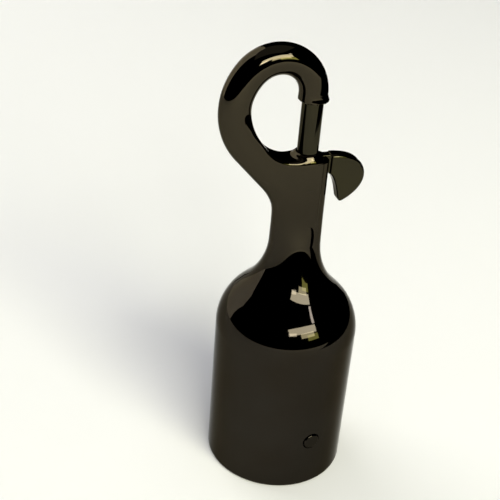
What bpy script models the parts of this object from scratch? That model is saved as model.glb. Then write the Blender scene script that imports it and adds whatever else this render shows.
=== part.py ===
"""Rope-end snap hook: a cup for the end of a barrier rope, with a bolt snap on top of it.

Run with: blender --background --python part.py
Metres, +Z up. The origin is the middle of the cup's roof, where the rope's end seats. The cup
opens downwards, and the hook's arm bends over in the XZ plane, with its back towards -X.
"""
import math

import bmesh
import bpy
from mathutils import Vector

MM = 0.001
GAP = 0.3 * MM                     # left between pieces that touch on the real object

# The cup, its domed shoulder and the neck. Heights are counted from the cup's rim.
CUP_DEPTH = 54 * MM
CUP_R = 20 * MM
CUP_WALL = 2.5 * MM
CUP_STRAIGHT = 44.4 * MM           # where the outer wall starts to turn in
CAVITY_STRAIGHT = 43 * MM          # where the inner wall starts to turn in
ROOF_R = 9.5 * MM
RIM_ROUND = 0.7 * MM
DOME_R = 15.3 * MM                 # radius of the convex shoulder
SHOULDER_RUN = 3.7 * MM            # straight slope between the shoulder and the hollow
FILLET_R = 20.9 * MM               # radius of the hollow between the slope and the neck
NECK_R = 7.1 * MM
HOUSING_TOP = 97.1 * MM
HOUSING_R = 6.95 * MM              # half the bolt housing's width in X
FLANK_HALF = 4.1 * MM              # half its thickness in Y, between the flat flanks
FLANKS_START = 63.5 * MM           # the round neck turns flat-sided from here
FLANKS_FULL = 82 * MM
HOUSING_ROUND = 1.2 * MM
COLLAR_R = 3.3 * MM                # raised lip of the bolt's bore, flared at its foot
COLLAR_TOP = 98.4 * MM

# The hook's arm: its centre line runs on two arcs that meet smoothly, then into the neck.
TIP_END = 112.6 * MM
TIP_X = 1.0 * MM
TIP_R = 4.05 * MM                  # the tip swells a little round the bolt's end
ARM_THIN_R = 3.75 * MM             # above the tip
ARM_R = 4.1 * MM                   # from the top of the loop on
TOP_ARC = (-8.75 * MM, 114.5 * MM, 9.5 * MM)
ARC_CHANGE = math.radians(140)
BACK_ARC_R = 15.64 * MM
ARM_LEAVES = math.radians(216)     # from here the arm widens into the neck

# The bolt, its bore and its travel.
BOLT_X = 0.9 * MM
BOLT_R = 2.8 * MM
BORE_R = 3.0 * MM
BOLT_BOTTOM = 80 * MM
BOLT_TOP = 114 * MM
BOLT_TRAVEL = 15 * MM
SOCKET_TOP = BOLT_TOP + GAP
SLOT_HALF = 1.7 * MM

# The thumb tab.
TAB_HALF = 1.9 * MM
TAB_TOP = 97.4 * MM
TENON_HALF = 1.2 * MM
TENON_LOW = 92.0 * MM
TENON_IN = -0.6 * MM

# The spring and the plug under it.
PLUG_R = 4.4 * MM
PLUG_HEAD = 2.2 * MM
PLUG_STEM_R = 2.6 * MM
PLUG_TOP = CUP_DEPTH + 4 * MM
WIRE_R = 0.3 * MM
COIL_R = 2.3 * MM
COILS = 9

# The pin that holds the rope.
PIN_ANGLE = math.radians(-80)
PIN_HEIGHT = 16.1 * MM
PIN_R = 2.35 * MM
PIN_PROUD = 0.5 * MM
PIN_POINT = 12.9 * MM              # distance of the pin's point from the cup's axis

TURN_STEPS = 56
ARM_SIDES = 24


def z_of(height):
    """The world height of a height above the rim."""
    return height - CUP_DEPTH


def arc(centre_x, centre_z, radius, start, end, steps):
    """Points of an arc in the XZ plane, angles in radians, both ends included."""
    angles = [start + (end - start) * i / steps for i in range(steps + 1)]
    return [(centre_x + radius * math.cos(a), centre_z + radius * math.sin(a)) for a in angles]


def bezier(p0, p1, p2, p3, steps):
    """Points of a cubic curve in the XZ plane, both ends included."""
    points = []
    for i in range(steps + 1):
        t = i / steps
        k = ((1 - t) ** 3, 3 * t * (1 - t) ** 2, 3 * t * t * (1 - t), t ** 3)
        points.append(tuple(sum(w * p[c] for w, p in zip(k, (p0, p1, p2, p3))) for c in (0, 1)))
    return points


def ease(t):
    """0 to 1, level at both ends."""
    return t * t * (3 - 2 * t)


def material(name, colour, roughness, metallic=1.0):
    made = bpy.data.materials.new(name)
    made.use_nodes = True
    shader = made.node_tree.nodes["Principled BSDF"]
    shader.inputs["Base Color"].default_value = (*colour, 1)
    shader.inputs["Roughness"].default_value = roughness
    shader.inputs["Metallic"].default_value = metallic
    return made


def finish(bm, name, look=None, weld=1e-7):
    """Close the bmesh into an object. Without a look it is a cutter, or a piece to be joined."""
    bmesh.ops.remove_doubles(bm, verts=bm.verts, dist=weld)
    bmesh.ops.recalc_face_normals(bm, faces=bm.faces)
    mesh = bpy.data.meshes.new(name)
    bm.to_mesh(mesh)
    bm.free()
    mesh.shade_smooth()
    mesh.set_sharp_from_angle(angle=math.radians(40))
    made = bpy.data.objects.new(name, mesh)
    bpy.context.scene.collection.objects.link(made)
    if look:
        mesh.materials.append(look)
    else:
        made.hide_render = True
        made.display_type = "WIRE"
    return made


def turned(name, profile, look=None, steps=TURN_STEPS):
    """A solid turned about Z from (radius, height) points that start and end on the axis."""
    bm = bmesh.new()
    verts = [bm.verts.new((r, 0, z)) for r, z in profile]
    edges = [bm.edges.new(pair) for pair in zip(verts, verts[1:])]
    bmesh.ops.spin(bm, geom=verts + edges, cent=(0, 0, 0), axis=(0, 0, 1),
                   angle=math.tau, steps=steps)
    return finish(bm, name, look)


def lofted(name, rings, look=None):
    """A solid skinned over rings with the same number of points, with flat ends."""
    bm = bmesh.new()
    loops = [[bm.verts.new(p) for p in ring] for ring in rings]
    for low, high in zip(loops, loops[1:]):
        for i in range(len(low)):
            j = (i + 1) % len(low)
            bm.faces.new((low[i], low[j], high[j], high[i]))
    bm.faces.new(loops[0])
    bm.faces.new(loops[-1])
    return finish(bm, name, look)


def box(name, low, high):
    bm = bmesh.new()
    bmesh.ops.create_cube(bm, size=1)
    size = [h - l for l, h in zip(low, high)]
    bmesh.ops.scale(bm, vec=size, verts=bm.verts)
    bmesh.ops.translate(bm, vec=[(h + l) / 2 for l, h in zip(low, high)], verts=bm.verts)
    return finish(bm, name)


def boolean(target, tool, operation):
    step = target.modifiers.new(f"{operation} {tool.name}".lower(), "BOOLEAN")
    step.operation = operation
    step.solver = "EXACT"
    step.object = tool


# The casting --------------------------------------------------------------------------------

def body_rings():
    """Cup, shoulder, neck and bolt housing, as level rings from the rim up.

    Shoulder and hollow are arcs, tangent to the straight slope between them, which leans in from
    the vertical by `lean`. The rings are circles up to the neck, and flatten towards the housing.
    """
    dome_x = CUP_R - DOME_R
    hollow_x = NECK_R + FILLET_R
    radii = DOME_R + FILLET_R
    lean = (math.atan2(radii, SHOULDER_RUN)
            - math.asin((hollow_x - dome_x) / math.hypot(radii, SHOULDER_RUN)))
    hollow_z = CUP_STRAIGHT + radii * math.sin(lean) + SHOULDER_RUN * math.cos(lean)
    profile = arc(CUP_R - RIM_ROUND, RIM_ROUND, RIM_ROUND, -math.pi / 2, 0, 3)
    profile += arc(dome_x, CUP_STRAIGHT, DOME_R, 0, lean, 9)
    profile += arc(hollow_x, hollow_z, FILLET_R, lean + math.pi, math.pi, 9)
    straight_top = HOUSING_TOP - HOUSING_ROUND
    for i in range(1, 8):
        t = i / 7
        profile.append((NECK_R + (HOUSING_R - NECK_R) * t, hollow_z + (straight_top - hollow_z) * t))
    profile += arc(HOUSING_R - HOUSING_ROUND, straight_top, HOUSING_ROUND, 0, math.pi / 2, 3)[1:]
    rings = []
    for half_x, height in profile:
        flat = ease(min(max((height - FLANKS_START) / (FLANKS_FULL - FLANKS_START), 0), 1))
        half_y = half_x - (HOUSING_R - FLANK_HALF) * flat
        angles = [math.tau * i / TURN_STEPS for i in range(TURN_STEPS)]
        rings.append([Vector((half_x * math.cos(a), half_y * math.sin(a), z_of(height)))
                      for a in angles])
    return rings


def cavity_profile():
    """The inside of the cup: a straight wall, then a curve up to the flat roof."""
    inner = CUP_R - CUP_WALL
    curve = bezier((inner, CAVITY_STRAIGHT), (inner, 49 * MM), (14 * MM, CUP_DEPTH),
                   (ROOF_R, CUP_DEPTH), 6)
    profile = [(0, -1 * MM), (inner, -1 * MM)] + curve + [(0, CUP_DEPTH)]
    return [(r, z_of(z)) for r, z in profile]


def back_arc():
    """Centre of the larger arc, tangent to the top arc where they meet."""
    x, z, radius = TOP_ARC
    shift = BACK_ARC_R - radius
    return x - shift * math.cos(ARC_CHANGE), z - shift * math.sin(ARC_CHANGE), BACK_ARC_R


def ring(inner, outer, half_y):
    """An ellipse that spans two points of the XZ plane and is half_y deep each way in Y."""
    middle = Vector(((inner[0] + outer[0]) / 2, 0, z_of((inner[1] + outer[1]) / 2)))
    reach = Vector(((inner[0] - outer[0]) / 2, 0, (inner[1] - outer[1]) / 2))
    side = Vector((0, half_y, 0))
    angles = [math.tau * i / ARM_SIDES for i in range(ARM_SIDES)]
    return [middle + reach * math.cos(a) + side * math.sin(a) for a in angles]


def round_ring(centre, angle, radius):
    """A round section of the arm, square to an arc at the given angle."""
    out = (math.cos(angle) * radius, math.sin(angle) * radius)
    return ring((centre[0] - out[0], centre[1] - out[1]), (centre[0] + out[0], centre[1] + out[1]),
                radius)


def arm_rings():
    x, z, radius = TOP_ARC
    rings = [ring((TIP_X - r, h), (TIP_X + r, h), r)
             for r, h in ((TIP_R - 0.3 * MM, TIP_END), (TIP_R, TIP_END + 0.3 * MM),
                          (TIP_R, TIP_END + 0.9 * MM))]
    for i in range(1, 15):
        angle = ARC_CHANGE * i / 14
        thickening = ease(i / 14)
        rings.append(round_ring(arc(x, z, radius, angle, angle, 1)[0], angle,
                                ARM_THIN_R + (ARM_R - ARM_THIN_R) * thickening))
    x, z, radius = back_arc()
    for i in range(1, 9):
        angle = ARC_CHANGE + (ARM_LEAVES - ARC_CHANGE) * i / 8
        rings.append(round_ring(arc(x, z, radius, angle, angle, 1)[0], angle, ARM_R))
    # The loop's floor and the arm's back run apart and turn the section into the housing's.
    heading = (-math.sin(ARM_LEAVES), math.cos(ARM_LEAVES))
    inner = arc(x, z, radius - ARM_R, ARM_LEAVES, ARM_LEAVES, 1)[0]
    floor = bezier(inner, (inner[0] + 5 * MM * heading[0], inner[1] + 5 * MM * heading[1]),
                   (-7.5 * MM, 97.3 * MM), (-3.5 * MM, 97.3 * MM), 9)
    floor += bezier(floor[-1], (-1 * MM, 97.3 * MM), (2 * MM, 97 * MM), (4 * MM, 96.3 * MM), 4)[1:]
    outer = arc(x, z, radius + ARM_R, ARM_LEAVES, ARM_LEAVES, 1)[0]
    back = bezier(outer, (outer[0] + 10 * MM * heading[0], outer[1] + 10 * MM * heading[1]),
                  (-7.3 * MM, 88 * MM), (-6.5 * MM, 79 * MM), len(floor) - 1)
    for i in range(1, len(floor)):
        rings.append(ring(floor[i], back[i], ARM_R))
    return rings


def make_hook_body(look):
    body = lofted("hook_body", body_rings(), look)
    arm = lofted("arm_join", arm_rings())
    collar = turned("collar_join", [(0, z_of(90 * MM)), (4 * MM, z_of(90 * MM)),
                                    (4 * MM, z_of(97.4 * MM)), (3.7 * MM, z_of(98 * MM)),
                                    (COLLAR_R, z_of(98.7 * MM)), (COLLAR_R, z_of(COLLAR_TOP)),
                                    (0, z_of(COLLAR_TOP))], steps=32)
    collar.location.x = BOLT_X
    for join in (arm, collar):
        boolean(body, join, "UNION")
    bore = turned("bore_cut", [(0, z_of(50 * MM)), (BORE_R, z_of(50 * MM)),
                               (BORE_R, z_of(SOCKET_TOP)), (0, z_of(SOCKET_TOP))], steps=32)
    bore.location.x = BOLT_X
    seat = turned("plug_cut", [(0, z_of(50 * MM)), (PLUG_R + GAP, z_of(50 * MM)),
                               (PLUG_R + GAP, PLUG_HEAD + GAP), (0, PLUG_HEAD + GAP)], steps=32)
    seat.location.x = BOLT_X
    slot_low = TENON_LOW - BOLT_TRAVEL - GAP
    slot = box("slot_cut", (BOLT_X, -SLOT_HALF, z_of(slot_low)),
               (12 * MM, SLOT_HALF, z_of(104 * MM)))
    cavity = turned("cavity_cut", cavity_profile())
    hole = turned("pin_cut", [(0, 15 * MM), (PIN_R + GAP, 15 * MM), (PIN_R + GAP, 22 * MM),
                              (0, 22 * MM)], steps=28)
    place_radially(hole)
    for tool in (bore, seat, slot, cavity, hole):
        boolean(body, tool, "DIFFERENCE")
    return body


# The loose pieces ---------------------------------------------------------------------------

def place_radially(piece):
    """Turn a piece from Z onto the pin's radial line, and lift it to the pin's height."""
    piece.rotation_euler = (0, math.pi / 2, PIN_ANGLE)
    piece.location = (0, 0, z_of(PIN_HEIGHT))


def make_bolt(look):
    chamfer = 0.5 * MM
    bolt = turned("bolt", [(0, z_of(BOLT_BOTTOM)), (BOLT_R - chamfer, z_of(BOLT_BOTTOM)),
                           (BOLT_R, z_of(BOLT_BOTTOM + chamfer)), (BOLT_R, z_of(BOLT_TOP - chamfer)),
                           (BOLT_R - chamfer, z_of(BOLT_TOP)), (0, z_of(BOLT_TOP))],
                  look, steps=32)
    bolt.location.x = BOLT_X
    pocket = box("tenon_cut", (TENON_IN - GAP, -TENON_HALF - GAP, z_of(TENON_LOW - GAP)),
                 (12 * MM, TENON_HALF + GAP, z_of(TAB_TOP)))
    boolean(bolt, pocket, "DIFFERENCE")
    return bolt


def prism(name, outline, half_y, look=None):
    """A flat piece cut to an outline in the XZ plane, half_y thick each way."""
    bm = bmesh.new()
    face = bm.faces.new([bm.verts.new((x, -half_y, z_of(z))) for x, z in outline])
    grown = bmesh.ops.extrude_face_region(bm, geom=[face])
    moved = [v for v in grown["geom"] if isinstance(v, bmesh.types.BMVert)]
    bmesh.ops.translate(bm, vec=(0, 2 * half_y, 0), verts=moved)
    return finish(bm, name, look)


def make_thumb_tab(look):
    """A curved thumb piece outside the housing, on a tenon that reaches into the bolt."""
    top = TAB_TOP
    outline = bezier((7.4 * MM, top), (13.0 * MM, top + 0.1 * MM), (17.2 * MM, 95.2 * MM),
                     (17.3 * MM, 90.9 * MM), 9)
    outline += bezier((17.3 * MM, 90.9 * MM), (17.3 * MM, 87.7 * MM), (14.4 * MM, 85.1 * MM),
                      (11.8 * MM, 83.7 * MM), 6)[1:]
    outline += bezier((11.8 * MM, 83.7 * MM), (11.0 * MM, 83.3 * MM), (10.6 * MM, 83.7 * MM),
                      (10.4 * MM, 84.6 * MM), 3)[1:]
    outline += bezier((10.4 * MM, 84.6 * MM), (9.8 * MM, 87.6 * MM), (9.0 * MM, 90.4 * MM),
                      (7.4 * MM, TENON_LOW), 6)[1:]
    tab = prism("thumb_tab", outline, TAB_HALF, look)
    edge = tab.modifiers.new("rounded edges", "BEVEL")
    edge.width = 0.7 * MM
    edge.segments = 2
    edge.angle_limit = math.radians(50)
    tenon = box("tenon_join", (TENON_IN, -TENON_HALF, z_of(TENON_LOW)),
                (9.5 * MM, TENON_HALF, z_of(top - 0.1 * MM)))
    boolean(tab, tenon, "UNION")
    return tab


def make_bolt_spring(look):
    """A coil spring of round wire, with its end turns closed up."""
    low = PLUG_TOP + GAP + WIRE_R
    high = BOLT_BOTTOM - GAP - WIRE_R
    per_turn = 14
    steps = COILS * per_turn
    rings = []
    for i in range(steps + 1):
        turn = i / per_turn
        ends = min(turn, 1) + min(COILS - turn, 1)
        along = max(turn - 1, 0) - max(turn - COILS + 1, 0)
        closed = 2 * WIRE_R * 1.15
        middle = (high - low - 2 * closed) * along / (COILS - 2)
        z = low + middle + closed * (min(turn, 1) + 1 - min(COILS - turn, 1))
        a = math.tau * turn
        out = Vector((math.cos(a), math.sin(a), 0))
        centre = Vector((BOLT_X, 0, z_of(z))) + out * COIL_R
        rings.append([centre + out * WIRE_R * math.cos(b) + Vector((0, 0, WIRE_R * math.sin(b)))
                      for b in (math.tau * k / 7 for k in range(7))])
    return lofted("bolt_spring", rings, look)


def make_spring_plug(look):
    """A stepped plug: its head fills the counterbore in the roof, its stem centres the spring."""
    plug = turned("spring_plug", [(0, 0), (PLUG_R, 0), (PLUG_R, PLUG_HEAD), (PLUG_STEM_R, PLUG_HEAD),
                                  (PLUG_STEM_R, z_of(PLUG_TOP)), (0, z_of(PLUG_TOP))],
                  look, steps=32)
    plug.location.x = BOLT_X
    return plug


def make_rope_pin(look):
    """A drive pin with a rounded head outside and a point that goes into the rope."""
    outside = CUP_R + PIN_PROUD
    nose = [(0, PIN_POINT), (0.3 * MM, PIN_POINT), (1.2 * MM, PIN_POINT + 2 * MM),
            (1.2 * MM, CUP_R - CUP_WALL), (PIN_R, CUP_R - CUP_WALL)]
    head = [(r, z) for r, z in arc(PIN_R - 0.5 * MM, outside - 0.5 * MM, 0.5 * MM,
                                   0, math.pi / 2, 4)]
    pin = turned("rope_pin", nose + head + [(0, outside)], look, steps=28)
    place_radially(pin)
    return pin


def main():
    for old in list(bpy.data.objects):
        bpy.data.objects.remove(old)
    nickel = material("black_nickel", (0.045, 0.040, 0.030), 0.08)
    make_hook_body(nickel)
    make_bolt(material("bolt_nickel", (0.055, 0.050, 0.038), 0.12))
    make_thumb_tab(material("tab_nickel", (0.050, 0.045, 0.034), 0.10))
    make_bolt_spring(material("spring_steel", (0.35, 0.34, 0.32), 0.3))
    make_spring_plug(material("plug_steel", (0.25, 0.24, 0.22), 0.35))
    make_rope_pin(material("pin_nickel", (0.060, 0.055, 0.042), 0.15))


main()
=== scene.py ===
"""Looks of the rope-end snap hook: polished black nickel on a pale floor.

The casting and the thumb tab are sculpted as smooth fields, in millimetres above the cup's rim, and
skinned with a fine mesh. Every other piece is turned or swept. All of them sit where the CAD says.
"""
import math

import bpy
import numpy as np
from mathutils import Matrix, Vector


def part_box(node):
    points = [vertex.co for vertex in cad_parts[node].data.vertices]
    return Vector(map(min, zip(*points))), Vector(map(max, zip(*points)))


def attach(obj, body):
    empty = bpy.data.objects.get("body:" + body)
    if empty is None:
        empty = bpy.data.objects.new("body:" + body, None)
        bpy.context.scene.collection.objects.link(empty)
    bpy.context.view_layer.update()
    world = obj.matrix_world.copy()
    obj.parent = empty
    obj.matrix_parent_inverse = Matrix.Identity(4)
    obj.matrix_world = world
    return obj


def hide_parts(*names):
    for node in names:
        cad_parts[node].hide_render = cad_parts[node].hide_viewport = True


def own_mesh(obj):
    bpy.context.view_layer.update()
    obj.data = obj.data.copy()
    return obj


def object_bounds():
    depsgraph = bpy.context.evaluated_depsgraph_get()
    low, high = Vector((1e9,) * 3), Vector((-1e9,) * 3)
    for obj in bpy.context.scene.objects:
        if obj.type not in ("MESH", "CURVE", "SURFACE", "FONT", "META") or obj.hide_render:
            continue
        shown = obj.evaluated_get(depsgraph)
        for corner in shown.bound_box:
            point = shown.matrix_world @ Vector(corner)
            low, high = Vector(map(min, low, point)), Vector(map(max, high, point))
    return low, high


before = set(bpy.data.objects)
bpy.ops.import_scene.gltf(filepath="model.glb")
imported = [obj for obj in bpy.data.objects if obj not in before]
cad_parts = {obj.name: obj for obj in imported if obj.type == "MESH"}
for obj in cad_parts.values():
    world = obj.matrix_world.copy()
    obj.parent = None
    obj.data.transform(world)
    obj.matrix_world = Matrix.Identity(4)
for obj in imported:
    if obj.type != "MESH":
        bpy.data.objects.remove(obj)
CAD_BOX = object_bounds()

MM = 0.001
RIM_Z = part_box("hook_body")[0].z        # the field's zero height

# Sizes in millimetres, heights above the rim. GAP is what is left between pieces that touch on
# the real object.
GAP = 0.3

# The cup, its domed shoulder, the neck and the bolt's housing.
CUP_R, CUP_WALL, CUP_DEPTH = 20.0, 2.5, 54.0
CUP_STRAIGHT, CAVITY_STRAIGHT, ROOF_R = 44.4, 43.0, 9.5
RIM_ROUND = 0.7
DOME_R, SHOULDER_RUN, HOLLOW_R = 15.3, 3.7, 20.9
NECK_R, HOUSING_R, HOUSING_TOP, HOUSING_ROUND = 7.1, 6.95, 97.1, 1.2
FLANK_HALF, FLANKS_START, FLANKS_FULL = 4.1, 63.5, 82.0
FLANK_POWER = 0.5                       # how much the flat-sided section squares up
COLLAR_R, COLLAR_TOP, COLLAR_EDGE = 3.3, 98.4, 0.4
COLLAR_LOW, COLLAR_FILLET = 90.0, 2.2

# The arm: the arcs of its centre line, then of its back and of the loop's inside.
TOP_X, TOP_Z, TOP_R = -8.75, 114.5, 9.5
ARC_CHANGE = math.radians(140)
BACK_R = 15.62
BACK_END, STRAIGHT, ROOT_R = math.radians(222), 11.8, 16.0
INNER_END, FLOOR_R = math.radians(216), 10.0
SQUARE_FROM, SQUARE_OVER = math.radians(165), math.radians(58)  # where the bar turns square
WEB_HALF, LIP_R = 3.8, 0.8
WEB_LOW, WEB_X, WEB_LAST, WEB_FILLET = 78.0, 4.0, 1.7 * math.pi, 0.8    # where it ends in the neck
ARM_HALF_SPACE = 9.0                    # nothing of the arm is further than this from its plane
ARM_THIN, ARM_R = 3.75, 4.1
TIP_X, TIP_R, TIP_END = 1.0, 4.05, 112.6
TIP_EDGE, TIP_BLEND, TIP_REACH = 0.25, 0.5, 3.0
FAR = 50.0                              # a field's value where its shape can't be

# The low ridge where the arm meets the flank, an arc that fades in from each start in millimetres.
RIDGE, RIDGE_R, RIDGE_HIGH, RIDGE_WIDE = (-17.0, 77.0), 16.6, 0.11, 0.45
RIDGE_Y, RIDGE_Y_FADE = 2.0, 1.5
RIDGE_X, RIDGE_X_FADE = -13.5, 3.0
RIDGE_LOW, RIDGE_LOW_FADE, RIDGE_TOP, RIDGE_TOP_FADE = 82.0, 4.0, 98.0, 3.0

# The bolt and the thumb tab, with the tab's tenon and its slot.
BOLT_X, BOLT_R, BORE_R = 0.9, 2.8, 3.0
BOLT_LOW, BOLT_TOP, TRAVEL = 80.0, 114.0, 15.0
SLOT_HALF, TENON_HALF, TENON_LOW, TENON_IN = 1.7, 1.2, 92.0, -0.6
TAB_HALF, TAB_TOP = 1.9, 97.4
TAB_EDGE, TENON_EDGE, TENON_FILLET, TENON_OUT = 0.75, 0.2, 0.5, 9.0

# The spring, the plug under it and the pin.
PLUG_R, PLUG_HEAD, PLUG_STEM, PLUG_TOP = 4.4, 2.2, 2.6, 58.0
WIRE_R, COIL_R, COILS = 0.3, 2.3, 9
PIN_ANGLE, PIN_HEIGHT, PIN_R, PIN_PROUD, PIN_POINT = math.radians(-80), 16.1, 2.3, 0.5, 12.9

# The straight slope between the dome's arc and the hollow's leans in by LEAN.
DOME_X, HOLLOW_X, RADII = CUP_R - DOME_R, NECK_R + HOLLOW_R, DOME_R + HOLLOW_R
LEAN = (math.atan2(RADII, SHOULDER_RUN)
        - math.asin((HOLLOW_X - DOME_X) / math.hypot(RADII, SHOULDER_RUN)))
SLOPE_LOW = (DOME_X + DOME_R * math.cos(LEAN), CUP_STRAIGHT + DOME_R * math.sin(LEAN))
SLOPE_TOP = SLOPE_LOW[1] + SHOULDER_RUN * math.cos(LEAN)
HOLLOW_Z = SLOPE_TOP + HOLLOW_R * math.sin(LEAN)


# Fields -------------------------------------------------------------------------------------

def ease(t):
    """0 up to 0 and 1 from 1 on, with a smooth step between."""
    t = np.clip(t, 0, 1)
    return t * t * (3 - 2 * t)


def blend_min(a, b, width):
    """The nearer of two fields, with a fillet of about this width where they meet."""
    h = np.clip(0.5 + 0.5 * (b - a) / width, 0, 1)
    return b + (a - b) * h - width * h * (1 - h)


def round_both(a, b, radius):
    """Inside both fields, with the outside edge between them rounded."""
    u, v = np.maximum(a + radius, 0), np.maximum(b + radius, 0)
    return np.hypot(u, v) - radius + np.minimum(np.maximum(a, b) + radius, 0)


def bezier(p0, p1, p2, p3, steps):
    t = np.linspace(0, 1, steps + 1)[:, None]
    p0, p1, p2, p3 = map(np.array, (p0, p1, p2, p3))
    return (1 - t) ** 3 * p0 + 3 * t * (1 - t) ** 2 * p1 + 3 * t * t * (1 - t) * p2 + t ** 3 * p3


def outline_field(x, z, points):
    """Signed distance in the XZ plane to a closed outline, negative inside."""
    best = np.full(x.shape, 1e9)
    inside = np.zeros(x.shape, bool)
    for (ax, az), (bx, bz) in zip(points, np.roll(points, -1, axis=0)):
        ex, ez = bx - ax, bz - az
        t = np.clip(((x - ax) * ex + (z - az) * ez) / (ex * ex + ez * ez), 0, 1)
        best = np.minimum(best, np.hypot(x - ax - t * ex, z - az - t * ez))
        if az != bz:
            inside ^= ((az > z) != (bz > z)) & (x < ax + (z - az) * ex / ez)
    return np.where(inside, -best, best)


def side_radius(z):
    """Half width of the cup, dome, neck and housing in X, and its slope."""
    dome = np.sqrt(np.maximum(DOME_R ** 2 - (z - CUP_STRAIGHT) ** 2, 1e-6))
    hollow = np.sqrt(np.maximum(HOLLOW_R ** 2 - (HOLLOW_Z - z) ** 2, 1e-6))
    places = [z < CUP_STRAIGHT, z < SLOPE_LOW[1], z < SLOPE_TOP, z < HOLLOW_Z]
    taper = (HOUSING_R - NECK_R) / (HOUSING_TOP - HOLLOW_Z)
    radius = np.select(places, [CUP_R + 0 * z, DOME_X + dome,
                                SLOPE_LOW[0] - (z - SLOPE_LOW[1]) * math.tan(LEAN),
                                HOLLOW_X - hollow], NECK_R + taper * (z - HOLLOW_Z))
    slope = np.select(places, [0 * z, (CUP_STRAIGHT - z) / dome, -math.tan(LEAN) + 0 * z,
                               (z - HOLLOW_Z) / hollow], taper)
    return radius, slope


def body_field(x, y, z):
    """Cup, dome and neck, round, turning into the flat-sided bolt housing."""
    half_x, slope = side_radius(z)
    flat = ease((z - FLANKS_START) / (FLANKS_FULL - FLANKS_START))
    half_y = half_x - (HOUSING_R - FLANK_HALF) * flat
    power = 2 + FLANK_POWER * flat
    u, v = np.abs(x) / half_x + 1e-9, np.abs(y) / half_y + 1e-9
    q = (u ** power + v ** power) ** (1 / power)
    steep = q ** (1 - power) * np.hypot(u ** (power - 1) / half_x, v ** (power - 1) / half_y)
    side = (q - 1) / (steep * np.sqrt(1 + slope ** 2))
    side = round_both(side, z - HOUSING_TOP, HOUSING_ROUND)
    return round_both(side, -z, RIM_ROUND)


def arc(x, z, centre, radius, start, end):
    """Distance to an arc in the XZ plane, signed distance outside its circle, and how far along it
    the nearest point lies, 0 to 1."""
    u, v = x - centre[0], z - centre[1]
    middle = (start + end) / 2
    angle = middle + (np.arctan2(v, u) - middle + math.pi) % math.tau - math.pi
    near = np.clip(angle, min(start, end), max(start, end))
    away = np.hypot(u - radius * np.cos(near), v - radius * np.sin(near))
    return away, np.hypot(u, v) - radius, (near - start) / (end - start)


def line(x, z, start, heading, length):
    """Distance to a straight run in the XZ plane, and signed distance to its left."""
    u, v = x - start[0], z - start[1]
    t = np.clip(u * heading[0] + v * heading[1], 0, length)
    return np.hypot(u - t * heading[0], v - t * heading[1]), v * heading[0] - u * heading[1]


def nearest(pieces):
    """The signed offset of whichever piece of a smooth chain is nearest."""
    best, offset = pieces[0]
    for away, other in pieces[1:]:
        offset = np.where(away < best, other, offset)
        best = np.minimum(best, away)
    return offset


def on_circle(centre, radius, angle):
    return np.array(centre) + radius * np.array((math.cos(angle), math.sin(angle)))


TOP = (TOP_X, TOP_Z)
BACK = (TOP_X - (BACK_R - TOP_R) * math.cos(ARC_CHANGE),
        TOP_Z - (BACK_R - TOP_R) * math.sin(ARC_CHANGE))
# The back leaves its arc, runs straight, and turns down into the neck.
BACK_FROM = on_circle(BACK, BACK_R + ARM_R, BACK_END)
BACK_WAY = np.array((-math.sin(BACK_END), math.cos(BACK_END)))
ROOT = BACK_FROM + STRAIGHT * BACK_WAY + ROOT_R * np.array((BACK_WAY[1], -BACK_WAY[0]))
# The loop's inside leaves its arc, runs straight, and turns level into the floor.
INNER_FROM = on_circle(BACK, BACK_R - ARM_R, INNER_END)
INNER_WAY = np.array((-math.sin(INNER_END), math.cos(INNER_END)))
INNER_RUN = (INNER_FROM[1] - HOUSING_TOP - FLOOR_R * (1 - INNER_WAY[0])) / -INNER_WAY[1]
FLOOR = (INNER_FROM[0] + INNER_RUN * INNER_WAY[0] - FLOOR_R * INNER_WAY[1], HOUSING_TOP + FLOOR_R)


def arm_field(x, y, z):
    """The hook's arm: a round bar over the top and down its back, with the inside of the loop
    growing squarer until it is the loop's floor."""
    _, out, along = arc(x, z, TOP, TOP_R, 0, ARC_CHANGE)
    top_r = ARM_THIN + (ARM_R - ARM_THIN) * ease(along)
    angle = np.arctan2(z - TOP_Z, x - TOP_X) % math.tau
    top = np.where(angle <= ARC_CHANGE, np.hypot(out, y) - top_r, FAR)

    a, o, _ = arc(x, z, BACK, BACK_R + ARM_R, ARC_CHANGE, BACK_END)
    b, p = line(x, z, BACK_FROM, BACK_WAY, STRAIGHT)
    c, q, _ = arc(x, z, ROOT, ROOT_R, 0, BACK_END - math.pi)
    outer = nearest([(a, o), (b, -p), (c, -q)])
    a, o, _ = arc(x, z, BACK, BACK_R - ARM_R, ARC_CHANGE, INNER_END)
    b, p = line(x, z, INNER_FROM, INNER_WAY, INNER_RUN)
    c, q, _ = arc(x, z, FLOOR, FLOOR_R, INNER_END, 1.5 * math.pi)
    d = np.where(x > FLOOR[0], np.abs(z - HOUSING_TOP), FAR)
    inner = nearest([(a, -o), (b, p), (c, -q), (d, z - HOUSING_TOP)])
    angle = np.arctan2(z - BACK[1], x - BACK[0]) % math.tau
    square = ease((angle - SQUARE_FROM) / SQUARE_OVER)
    half = ARM_R + (WEB_HALF - ARM_R) * square
    side = np.abs(y) - half
    lower = round_both(side, outer, half)
    lower = round_both(lower, inner, half + (LIP_R - half) * square)
    lower = np.where((angle > ARC_CHANGE) & (angle < WEB_LAST), lower, FAR)
    lower = np.maximum(lower, x - WEB_X)

    down = ease((TOP_Z - z) / (TOP_Z - TIP_END))
    end_x = TOP_X + TOP_R + (TIP_X - TOP_X - TOP_R) * down
    tip = np.hypot(x - end_x, y) - (ARM_THIN + (TIP_R - ARM_THIN) * down)
    tip = round_both(tip, TIP_END - z, TIP_EDGE)
    tip = np.where((z <= TOP_Z) & (z > TIP_END - TIP_REACH), tip, FAR)
    return np.minimum(blend_min(top, tip, TIP_BLEND), FAR), lower


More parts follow.
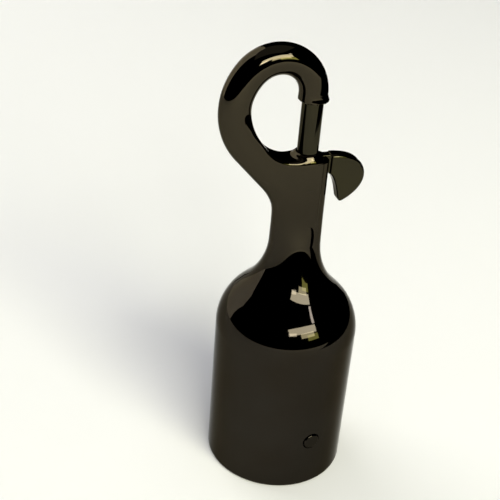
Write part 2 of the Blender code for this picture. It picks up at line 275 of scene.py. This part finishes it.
def ridge(x, y, z):
    """How far the ridge where the arm meets the flank stands up."""
    across = (np.hypot(x - RIDGE[0], z - RIDGE[1]) - RIDGE_R) / RIDGE_WIDE
    fade = (ease((np.abs(y) - RIDGE_Y) / RIDGE_Y_FADE) * ease((z - RIDGE_LOW) / RIDGE_LOW_FADE)
            * ease((RIDGE_TOP - z) / RIDGE_TOP_FADE) * ease((x - RIDGE_X) / RIDGE_X_FADE))
    return RIDGE_HIGH * np.exp(-across ** 2) * fade


def casting_field(p):
    """The whole casting before it is bored: negative inside."""
    x, y, z = p.T
    field = body_field(x, y, z)
    near = (z > WEB_LOW) & (np.abs(y) < ARM_HALF_SPACE)
    x, y, z = x[near], y[near], z[near]
    upper, lower = arm_field(x, y, z)
    collar = round_both(np.hypot(x - BOLT_X, y) - COLLAR_R, z - COLLAR_TOP, COLLAR_EDGE)
    collar = np.maximum(collar, COLLAR_LOW - z)
    lower = blend_min(blend_min(field[near], lower, WEB_FILLET), collar, COLLAR_FILLET)
    field[near] = np.minimum(lower - ridge(x, y, z), upper)
    return field


# The thumb tab's outline in the XZ plane.
TAB = np.vstack([
    bezier((7.35, TAB_TOP), (13.0, TAB_TOP + 0.15), (17.2, 95.3), (17.3, 90.9), 16),
    bezier((17.3, 90.9), (17.3, 87.7), (14.4, 85.1), (11.8, 83.7), 12)[1:],
    bezier((11.8, 83.7), (11.0, 83.3), (10.6, 83.7), (10.4, 84.6), 6)[1:],
    bezier((10.4, 84.6), (9.8, 87.6), (9.0, 90.4), (7.35, 92.0), 12)[1:]])


def tab_field(p):
    """The thumb tab with its tenon."""
    x, y, z = p.T
    plate = round_both(outline_field(x, z, TAB), np.abs(y) - TAB_HALF, TAB_EDGE)
    centre = (TENON_LOW + TAB_TOP) / 2
    tenon = round_both(np.maximum(TENON_IN - x, x - TENON_OUT),
                       np.abs(z - centre) - (TAB_TOP - centre) + 0.05, TENON_EDGE)
    tenon = round_both(tenon, np.abs(y) - TENON_HALF, TENON_EDGE)
    return blend_min(plate, tenon, TENON_FILLET)


# Meshes -------------------------------------------------------------------------------------

def to_world(points):
    return np.asarray(points, float) * MM + np.array((0, 0, RIM_Z))


def gradient(field, points, step=0.02):
    """The field's slope at each point, by central differences."""
    slopes = []
    for axis in range(3):
        shift = np.zeros(3)
        shift[axis] = step
        slopes.append((field(points + shift) - field(points - shift)) / (2 * step))
    return np.stack(slopes, 1)


def skin(field, low, high, step):
    """Surface nets: one vertex in each cell the surface crosses, then moved onto the surface."""
    axes = [np.arange(l, h + step, step) + 0.137 * step for l, h in zip(low, high)]
    shape = [len(a) for a in axes]
    grid = np.stack(np.meshgrid(*axes, indexing="ij"), -1).reshape(-1, 3)
    value = np.concatenate([field(part) for part in np.array_split(grid, 12)]).reshape(shape)
    solid = value < 0
    count = np.zeros([n - 1 for n in shape])
    total = np.zeros([n - 1 for n in shape] + [3])
    for axis in range(3):
        a = np.moveaxis(value, axis, 0)
        crossing = (a[:-1] < 0) != (a[1:] < 0)
        t = np.where(crossing, a[:-1] / np.where(crossing, a[:-1] - a[1:], 1), 0)
        for i in (0, 1):
            for j in (0, 1):
                part = (slice(None), slice(i, a.shape[1] - 1 + i), slice(j, a.shape[2] - 1 + j))
                c, s = np.moveaxis(crossing[part], 0, axis), np.moveaxis(t[part], 0, axis)
                count += c
                total[..., axis] += np.where(c, s, 0)
                others = [k for k in range(3) if k != axis]
                total[..., others[0]] += c * i
                total[..., others[1]] += c * j
    cells = np.argwhere(count > 0)
    index = np.full(count.shape, -1)
    index[tuple(cells.T)] = np.arange(len(cells))
    middle = total[tuple(cells.T)] / count[tuple(cells.T)][:, None]
    points = np.array([a[0] for a in axes]) + (cells + middle) * step
    quads = []
    for axis in range(3):
        b, c = (axis + 1) % 3, (axis + 2) % 3
        a = np.moveaxis(solid, (axis, b, c), (0, 1, 2))
        n = np.moveaxis(index, (axis, b, c), (0, 1, 2))
        i, j, k = np.nonzero(a[:-1, 1:-1, 1:-1] != a[1:, 1:-1, 1:-1])
        quad = np.stack([n[i, j, k], n[i, j + 1, k], n[i, j + 1, k + 1], n[i, j, k + 1]], 1)
        flip = ~a[i, j + 1, k + 1]
        quad[flip] = quad[flip, ::-1]
        quads.append(quad)
    quads = np.vstack(quads)
    for _ in range(4):
        slope = gradient(field, points)
        far = field(points) / np.maximum((slope ** 2).sum(1), 1e-6)
        points -= np.clip(far, -step, step)[:, None] * slope
        points = relax(points, quads, 0.3)
    for _ in range(3):
        slope = gradient(field, points)
        points -= (field(points) / np.maximum((slope ** 2).sum(1), 1e-6))[:, None] * slope
    return points, quads


def relax(points, quads, share):
    """Move each vertex part of the way to the middle of its faces, which evens the mesh."""
    middle = points[quads].mean(1)
    total, count = np.zeros_like(points), np.zeros(len(points))
    for corner in range(4):
        np.add.at(total, quads[:, corner], middle)
        np.add.at(count, quads[:, corner], 1)
    return points + share * (total / count[:, None] - points)


def mesh_object(name, points, faces):
    mesh = bpy.data.meshes.new(name)
    mesh.from_pydata(to_world(points).tolist(), [], [list(map(int, f)) for f in faces])
    mesh.update()
    made = bpy.data.objects.new(name, mesh)
    bpy.context.scene.collection.objects.link(made)
    return made


def turned(name, profile, centre=(0, 0), steps=96):
    """A closed solid turned about Z from (radius, height) points that start and end on the axis."""
    rim = [p for p in profile if p[0] > 1e-6]
    angles = np.linspace(0, math.tau, steps, endpoint=False)
    points = [(centre[0] + r * math.cos(a), centre[1] + r * math.sin(a), h)
              for r, h in rim for a in angles]
    low, high = len(points), len(points) + 1
    points += [(*centre, profile[0][1]), (*centre, profile[-1][1])]
    faces = []
    for ring in range(len(rim) - 1):
        for i in range(steps):
            j = (i + 1) % steps
            a, b = ring * steps, (ring + 1) * steps
            faces.append((a + i, a + j, b + j, b + i))
    last = (len(rim) - 1) * steps
    for i in range(steps):
        j = (i + 1) % steps
        faces.append((low, j, i))
        faces.append((high, last + i, last + j))
    return mesh_object(name, points, faces)


def corner(r, h, radius, start, steps=6):
    """A quarter round of a turned profile, about (r, h), from a start angle in degrees."""
    angles = np.radians(np.linspace(start, start + 90, steps + 1))
    return [(r + radius * math.cos(a), h + radius * math.sin(a)) for a in angles]


def block(name, low, high):
    """A box between two corners, which only ever cuts another piece."""
    corners = [(x, y, z) for x in (low[0], high[0]) for y in (low[1], high[1])
               for z in (low[2], high[2])]
    faces = [(0, 1, 3, 2), (4, 6, 7, 5), (0, 4, 5, 1), (2, 3, 7, 6), (0, 2, 6, 4), (1, 5, 7, 3)]
    return mesh_object(name, corners, faces)


def cut(target, tools):
    """Take the tools out of the target and apply the result."""
    for tool in tools:
        step = target.modifiers.new("cut", "BOOLEAN")
        step.operation = "DIFFERENCE"
        step.solver = "MANIFOLD"
        step.object = tool
    shape = target.evaluated_get(bpy.context.evaluated_depsgraph_get())
    result = bpy.data.meshes.new_from_object(shape)
    target.modifiers.clear()
    target.data = result
    for tool in tools:
        bpy.data.objects.remove(tool)


def shade(target, field=None, angle=35):
    """Smooth shading. On a field's own surface the normals are the field's, so a mirror finish
    shows no mesh."""
    mesh = target.data
    mesh.shade_smooth()
    mesh.set_sharp_from_angle(angle=math.radians(angle))
    if field is None:
        return
    count = len(mesh.vertices)
    points = np.empty(count * 3)
    mesh.vertices.foreach_get("co", points)
    points = (points.reshape(-1, 3) - (0, 0, RIM_Z)) / MM
    slope = gradient(field, points)
    slope /= np.linalg.norm(slope, axis=1)[:, None]
    on_skin = np.abs(field(points)) < 0.01
    loops = np.empty(len(mesh.loops), int)
    mesh.loops.foreach_get("vertex_index", loops)
    faces = np.empty(len(mesh.polygons) * 3)
    mesh.polygons.foreach_get("normal", faces)
    faces = faces.reshape(-1, 3)
    totals = np.empty(len(mesh.polygons), int)
    mesh.polygons.foreach_get("loop_total", totals)
    loop_face = np.repeat(np.arange(len(totals)), totals)
    whole = np.minimum.reduceat(on_skin[loops].astype(int), np.r_[0, np.cumsum(totals)[:-1]])
    normals = slope[loops]
    agree = (normals * faces[loop_face]).sum(1) > 0.75
    normals[~(agree & (whole[loop_face] > 0))] = 0
    mesh.normals_split_custom_set([tuple(n) for n in normals])


# Pieces -------------------------------------------------------------------------------------

def cup_cavity():
    """The cup's inside, with the rim's inner edge broken."""
    inner = CUP_R - CUP_WALL
    curve = bezier((inner, CAVITY_STRAIGHT), (inner, 49), (14, CUP_DEPTH), (ROOF_R, CUP_DEPTH), 14)
    lip = [(inner + 0.5, -1), (inner + 0.5, 0), (inner + 0.15, 0.15), (inner, 0.5)]
    return turned("cavity", [(0, -1), *lip, *map(tuple, curve), (0, CUP_DEPTH)])


def radial(piece):
    """Turn a piece made on the rim's Z axis onto the pin's radial line."""
    turn = Matrix.Rotation(PIN_ANGLE, 4, "Z") @ Matrix.Rotation(math.pi / 2, 4, "Y")
    rim = Vector((0, 0, RIM_Z))
    lift = Vector((0, 0, RIM_Z + PIN_HEIGHT * MM))
    piece.data.transform(Matrix.Translation(lift) @ turn @ Matrix.Translation(-rim))
    return piece


def make_casting():
    points, quads = skin(casting_field, (-25, -21, -1.5), (21.5, 21, 130), 0.5)
    body = mesh_object("hook_casting", points, quads)
    bore = turned("bore", [(0, 50), (BORE_R, 50), (BORE_R, BOLT_TOP + GAP), (0, BOLT_TOP + GAP)],
                  (BOLT_X, 0), 64)
    seat = turned("seat", [(0, 50), (PLUG_R + GAP, 50), (PLUG_R + GAP, CUP_DEPTH + PLUG_HEAD + GAP),
                           (0, CUP_DEPTH + PLUG_HEAD + GAP)], (BOLT_X, 0), 64)
    slot = block("slot", (BOLT_X, -SLOT_HALF, TENON_LOW - TRAVEL - GAP), (12, SLOT_HALF, 104))
    hole = radial(turned("hole", [(0, 15), (PIN_R + GAP, 15), (PIN_R + GAP, 22), (0, 22)], steps=48))
    cut(body, [cup_cavity(), bore, seat, slot, hole])
    shade(body, casting_field)
    return body


def make_bolt():
    low, high, edge = BOLT_LOW, BOLT_TOP, 0.5
    profile = [(0, low), (BOLT_R - edge, low), (BOLT_R, low + edge),
               *corner(BOLT_R - edge, high - edge, edge, 0), (0, high)]
    bolt = turned("bolt_rod", profile, (BOLT_X, 0), 96)
    pocket = block("pocket", (TENON_IN - GAP, -TENON_HALF - GAP, TENON_LOW - GAP),
                   (12, TENON_HALF + GAP, TAB_TOP + 0.2))
    cut(bolt, [pocket])
    shade(bolt)
    return bolt


def make_tab():
    points, quads = skin(tab_field, (-1.5, -2.6, 83), (18, 2.6, 98), 0.25)
    tab = mesh_object("thumb_piece", points, quads)
    shade(tab, tab_field)
    return tab


def make_spring():
    """Round wire, wound, with its end turns closed up."""
    per_turn, around = 36, 12
    low, high = PLUG_TOP + GAP + WIRE_R, BOLT_LOW - GAP - WIRE_R
    closed = 2.3 * WIRE_R
    turn = np.arange(COILS * per_turn + 1) / per_turn
    first, last = np.minimum(turn, 1), np.minimum(COILS - turn, 1)
    along = np.clip(turn - 1, 0, COILS - 2) / (COILS - 2)
    z = low + (high - low - 2 * closed) * along + closed * (first + 1 - last)
    points = []
    for t, height in zip(turn, z):
        for b in np.arange(around) * math.tau / around:
            r = COIL_R + WIRE_R * math.cos(b)
            points.append((BOLT_X + r * math.cos(math.tau * t), r * math.sin(math.tau * t),
                           height + WIRE_R * math.sin(b)))
    faces = [(i * around + j, i * around + (j + 1) % around, (i + 1) * around + (j + 1) % around,
              (i + 1) * around + j) for i in range(len(turn) - 1) for j in range(around)]
    faces = [f[::-1] for f in faces]
    faces += [tuple(range(around)), tuple(range(len(points) - 1, len(points) - 1 - around, -1))]
    spring = mesh_object("spring_wire", points, faces)
    shade(spring)
    return spring


def make_plug():
    low, edge = CUP_DEPTH, 0.3
    shoulder = low + PLUG_HEAD
    profile = [(0, low), (PLUG_R - edge, low), (PLUG_R, low + edge), (PLUG_R, shoulder),
               (PLUG_STEM, shoulder), (PLUG_STEM, PLUG_TOP - edge), (PLUG_STEM - edge, PLUG_TOP),
               (0, PLUG_TOP)]
    plug = turned("bore_plug", profile, (BOLT_X, 0), 64)
    shade(plug)
    return plug


def make_pin():
    outside, edge = CUP_R + PIN_PROUD, 0.5
    inner = CUP_R - CUP_WALL
    profile = [(0, PIN_POINT), (0.3, PIN_POINT), (1.2, PIN_POINT + 2), (1.2, inner), (PIN_R, inner),
               *corner(PIN_R - edge, outside - edge - 0.08, edge, 0, 8),
               (PIN_R * 0.5, outside - 0.02), (0, outside)]
    pin = radial(turned("rope_tack", profile, steps=64))
    shade(pin, angle=50)
    return pin


# Materials ----------------------------------------------------------------------------------

EDGE = (0.54, 0.53, 0.51)        # how much of a mirror's glare the plate has at grazing angles
CLOUD, GRAIN, WAVE = 45, 900, 160       # noise scales per metre: tone, polish marks, waviness
WAVE_STRENGTH, WAVE_DEPTH = 0.25, 0.00002
PAINTED_REFLECTION_FROM, PAINTED_REFLECTION_FULL = 62, 96         # millimetres above the rim, where the painted reflection's lighter colour comes in

# Each finish is its two tones and its roughness.
CASTING = (0.0225, 0.0188, 0.0139), (0.0256, 0.0225, 0.0182), 0.035
# The casting's lighter colour above the cup is a painted reflection: it stands in for the brighter
# floor that the upper casting mirrors.
CASTING_PAINTED_REFLECTION = (0.0385, 0.0325, 0.0218)
BOLT = (0.032, 0.0288, 0.0163), (0.0275, 0.025, 0.0163), 0.06
THUMB = (0.0356, 0.0319, 0.0175), (0.0313, 0.0281, 0.0175), 0.05
PIN = (0.025, 0.0213, 0.0163), (0.0188, 0.0163, 0.0125), 0.12
SPRING = (0.35, 0.34, 0.32), (0.28, 0.27, 0.25), 0.25
PLUG = (0.25, 0.24, 0.22), (0.19, 0.18, 0.17), 0.3


def nickel(name, colour, tint, rough, upper=None):
    """Black nickel plate: a near mirror with a faint cloud of tone, polish marks and waviness.
    Where `upper` is given, the plate turns to that lighter colour above the cup. This is a painted
    reflection: it stands in for the brighter floor that the upper casting mirrors, while the cup
    mirrors the darker floor near its foot."""
    made = bpy.data.materials.new(name)
    made.use_nodes = True
    nodes, links = made.node_tree.nodes, made.node_tree.links
    shader = nodes["Principled BSDF"]
    shader.inputs["Metallic"].default_value = 1
    shader.inputs["Specular Tint"].default_value = (*EDGE, 1)
    place = nodes.new("ShaderNodeTexCoord")

    def noise(scale, detail, stretch=(1, 1, 1)):
        mapping = nodes.new("ShaderNodeMapping")
        mapping.inputs["Scale"].default_value = stretch
        links.new(place.outputs["Object"], mapping.inputs["Vector"])
        texture = nodes.new("ShaderNodeTexNoise")
        texture.inputs["Scale"].default_value = scale
        texture.inputs["Detail"].default_value = detail
        links.new(mapping.outputs["Vector"], texture.inputs["Vector"])
        return texture.outputs["Fac"]

    def remap(value, low, high, to_low, to_high):
        node = nodes.new("ShaderNodeMapRange")
        for socket, number in zip(("From Min", "From Max", "To Min", "To Max"),
                                  (low, high, to_low, to_high)):
            node.inputs[socket].default_value = number
        links.new(value, node.inputs["Value"])
        return node.outputs["Result"]

    mix = nodes.new("ShaderNodeMix")
    mix.data_type = "RGBA"
    mix.inputs["A"].default_value = (*colour, 1)
    mix.inputs["B"].default_value = (*tint, 1)
    links.new(remap(noise(CLOUD, 2), 0.35, 0.65, 0, 1), mix.inputs["Factor"])
    tone = mix.outputs["Result"]
    # The lighter colour above the cup is a painted reflection, not a different plate.
    if upper:
        split = nodes.new("ShaderNodeSeparateXYZ")
        links.new(place.outputs["Object"], split.inputs["Vector"])
        painted_reflection_share = remap(split.outputs["Z"], RIM_Z + PAINTED_REFLECTION_FROM * MM, RIM_Z + PAINTED_REFLECTION_FULL * MM, 0, 1)
        blend = nodes.new("ShaderNodeMix")
        blend.data_type = "RGBA"
        blend.inputs["B"].default_value = (*upper, 1)
        links.new(painted_reflection_share, blend.inputs["Factor"])
        links.new(tone, blend.inputs["A"])
        tone = blend.outputs["Result"]
    links.new(tone, shader.inputs["Base Color"])

    polish = remap(noise(GRAIN, 3, (1, 1, 0.15)), 0.3, 0.75, rough * 0.7, rough * 1.6)
    links.new(polish, shader.inputs["Roughness"])

    bump = nodes.new("ShaderNodeBump")
    bump.inputs["Strength"].default_value = WAVE_STRENGTH
    bump.inputs["Distance"].default_value = WAVE_DEPTH
    links.new(noise(WAVE, 1), bump.inputs["Height"])
    links.new(bump.outputs["Normal"], shader.inputs["Normal"])
    return made


def dress(piece, look, node, body):
    """Give a piece its finish, and put it in its CAD node's place on its body."""
    piece.data.materials.clear()
    piece.data.materials.append(look)
    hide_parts(node)
    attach(piece, body)


def build_object():
    dress(make_casting(), nickel("casting nickel", *CASTING, CASTING_PAINTED_REFLECTION), "hook_body", "casting")
    dress(make_bolt(), nickel("bolt nickel", *BOLT), "bolt", "bolt_and_tab")
    dress(make_tab(), nickel("tab nickel", *THUMB), "thumb_tab", "bolt_and_tab")
    spring = make_spring()
    dress(spring, nickel("spring steel", *SPRING), "bolt_spring", "casting")
    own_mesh(spring)
    dress(make_plug(), nickel("plug steel", *PLUG), "spring_plug", "casting")
    dress(make_pin(), nickel("pin nickel", *PIN), "rope_pin", "casting")


# Stage --------------------------------------------------------------------------------------

def pale(name, glow=0):
    look = bpy.data.materials.new(name)
    look.use_nodes = True
    shader = look.node_tree.nodes["Principled BSDF"]
    shader.inputs["Base Color"].default_value = (0.9, 0.9, 0.9, 1)
    shader.inputs["Roughness"].default_value = 0.9
    shader.inputs["Specular IOR Level"].default_value = 0
    shader.inputs["Emission Color"].default_value = (1, 0.97, 0.94, 1)
    shader.inputs["Emission Strength"].default_value = glow
    return look


def stage_mesh(name, points, faces, look):
    mesh = bpy.data.meshes.new(name)
    mesh.from_pydata(points, [], faces)
    mesh.materials.append(look)
    mesh.shade_smooth()
    made = bpy.data.objects.new(name, mesh)
    bpy.context.scene.collection.objects.link(made)
    return made


def heading(azimuth, elevation=0):
    """Unit vector towards an azimuth right of the camera's own, and an elevation, in degrees."""
    a, e = CAMERA_AZIMUTH + math.radians(azimuth), math.radians(elevation)
    return Vector((math.sin(a) * math.cos(e), -math.cos(a) * math.cos(e), math.sin(e)))


def curtain(name, start, end, reach, top_at, look):
    """A band that stands on the floor round the object, between two bearings."""
    points = []
    for i in range(STEPS + 1):
        bearing = start + (end - start) * i / STEPS
        foot = heading(bearing) * reach
        points += [(foot.x, foot.y, FLOOR_Z), (foot.x, foot.y, float(top_at(bearing)))]
    faces = [(2 * i, 2 * i + 2, 2 * i + 3, 2 * i + 1) for i in range(STEPS)]
    return stage_mesh(name, points, faces, look)


def wall_top(bearing):
    rise = ease((bearing - WALL_LOW_TO) / (WALL_HIGH_FROM - WALL_LOW_TO))
    return WALL_LOW + (WALL_HIGH - WALL_LOW) * rise


def card_top(bearing):
    rise = ease((bearing - CARD_FROM) / CARD_RAMP) * ease((CARD_TO - bearing) / CARD_RAMP)
    return FLOOR_Z + (CARD_TOP - FLOOR_Z) * rise


def make_stage():
    """A round floor, a pale curved wall behind and to the left of the object, and a dark card."""
    rim = [heading(360 * i / STEPS) * FLOOR_REACH for i in range(STEPS)]
    stage_mesh("floor", [(p.x, p.y, FLOOR_Z) for p in rim], [tuple(range(STEPS))],
               pale("pale paper"))
    curtain("wall", WALL_FROM, WALL_TO, WALL_REACH, wall_top, pale("lit paper", WALL_GLOW))
    dark = pale("dark card")
    dark.node_tree.nodes["Principled BSDF"].inputs["Base Color"].default_value = (0, 0, 0, 1)
    card = curtain("card", CARD_FROM, CARD_TO, CARD_REACH, card_top, dark)
    # The card only shows in the metal, where it ends the pale floor as the edge of a table does.
    card.visible_camera = card.visible_diffuse = card.visible_shadow = False


def area_light(name, azimuth, elevation, size, radiance, colour):
    """A lit pane that faces the object, by its bearing from the camera's, in degrees and metres."""
    light = bpy.data.lights.new(name, "AREA")
    light.shape = "RECTANGLE"
    light.size, light.size_y = size
    light.energy = LIGHT * radiance * math.pi * size[0] * size[1]
    light.color = colour
    made = bpy.data.objects.new(name, light)
    way = heading(azimuth, elevation)
    made.location = way * LIGHT_REACH
    made.rotation_euler = way.to_track_quat("Z", "Y").to_euler()
    bpy.context.scene.collection.objects.link(made)
    return made


def make_lights():
    area_light("window", 31, 36, (1.55, 0.5), 9, (1, 0.99, 0.86))
    area_light("window left", 12, 29, (0.42, 0.22), 7, (1, 0.99, 0.9))
    area_light("window below", 38, 25, (0.75, 0.35), 7, (1, 0.98, 0.72))
    area_light("garden", 46, 19, (0.6, 0.4), 4, (0.75, 0.8, 0.25))
    area_light("side lamp", 59, 44, (0.13, 0.13), 9, (1, 0.97, 1))
    area_light("ceiling", 180, 86, (2.2, 2.2), 0.14, (1, 0.98, 0.95))
    fill = area_light("fill", 180, 88, (2.4, 2.4), 0.5, (0.82, 0.86, 1))
    fill.visible_glossy = False         # it lights the floor and stays out of the metal
    world = bpy.data.worlds.new("room")
    world.use_nodes = True
    world.node_tree.nodes["Background"].inputs["Color"].default_value = (0.85, 0.85, 0.86, 1)
    # The pale room is only a backdrop: it neither lights the object nor shows in the metal.
    world.cycles_visibility.glossy = False
    world.cycles_visibility.diffuse = False
    bpy.context.scene.world = world
    bpy.context.scene.view_settings.view_transform = "Standard"


# Distances and heights in metres, bearings in degrees from the camera's own.
LIGHT, LIGHT_REACH = 1.6, 2.0           # LIGHT raises every light together
STEPS = 96                              # in a full circle of the floor, and along each band
FLOOR_Z, FLOOR_REACH = CAD_BOX[0].z - 0.0001, 1.15
WALL_FROM, WALL_TO, WALL_LOW_TO, WALL_HIGH_FROM = 140, 258, 190, 215
WALL_REACH, WALL_LOW, WALL_HIGH, WALL_GLOW = 1.1, 0.02, 1.9, 0.96
CARD_FROM, CARD_TO, CARD_RAMP, CARD_REACH, CARD_TOP = 50, 215, 60, 0.3, 0.12

# The camera: angles in radians, the aim and its distance in millimetres, and the focal length and
# the aim's place right of and below the frame's middle, in pixels of a 500-pixel frame.
CAMERA_AZIMUTH, ELEVATION, ROLL = math.radians(-20), 0.5406, 0.0826
AIM, AIM_DISTANCE = (0, 0, 60), 277.54
FRAME, SENSOR, FOCAL_PIXELS = 500, 36, 998.9
AIM_RIGHT, AIM_DOWN = 40.6 / FOCAL_PIXELS, 26.4 / FOCAL_PIXELS


def make_camera():
    a, e = CAMERA_AZIMUTH, ELEVATION
    back = Vector((math.sin(a) * math.cos(e), -math.cos(a) * math.cos(e), math.sin(e)))
    level = Vector((math.cos(a), math.sin(a), 0))
    rise = back.cross(level)
    right = level * math.cos(ROLL) + rise * math.sin(ROLL)
    up = rise * math.cos(ROLL) - level * math.sin(ROLL)
    place = Vector(AIM) + AIM_DISTANCE * (back - right * AIM_RIGHT + up * AIM_DOWN)
    camera = bpy.data.cameras.new("camera")
    camera.lens, camera.sensor_width = FOCAL_PIXELS / FRAME * SENSOR, SENSOR
    camera.clip_start, camera.clip_end = 0.01, 20
    made = bpy.data.objects.new("camera", camera)
    made.matrix_world = Matrix.Translation(to_world(place)) @ Matrix(
        (right, up, back)).transposed().to_4x4()
    bpy.context.scene.collection.objects.link(made)
    bpy.context.scene.camera = made


make_camera()
build_object()
make_stage()
make_lights()
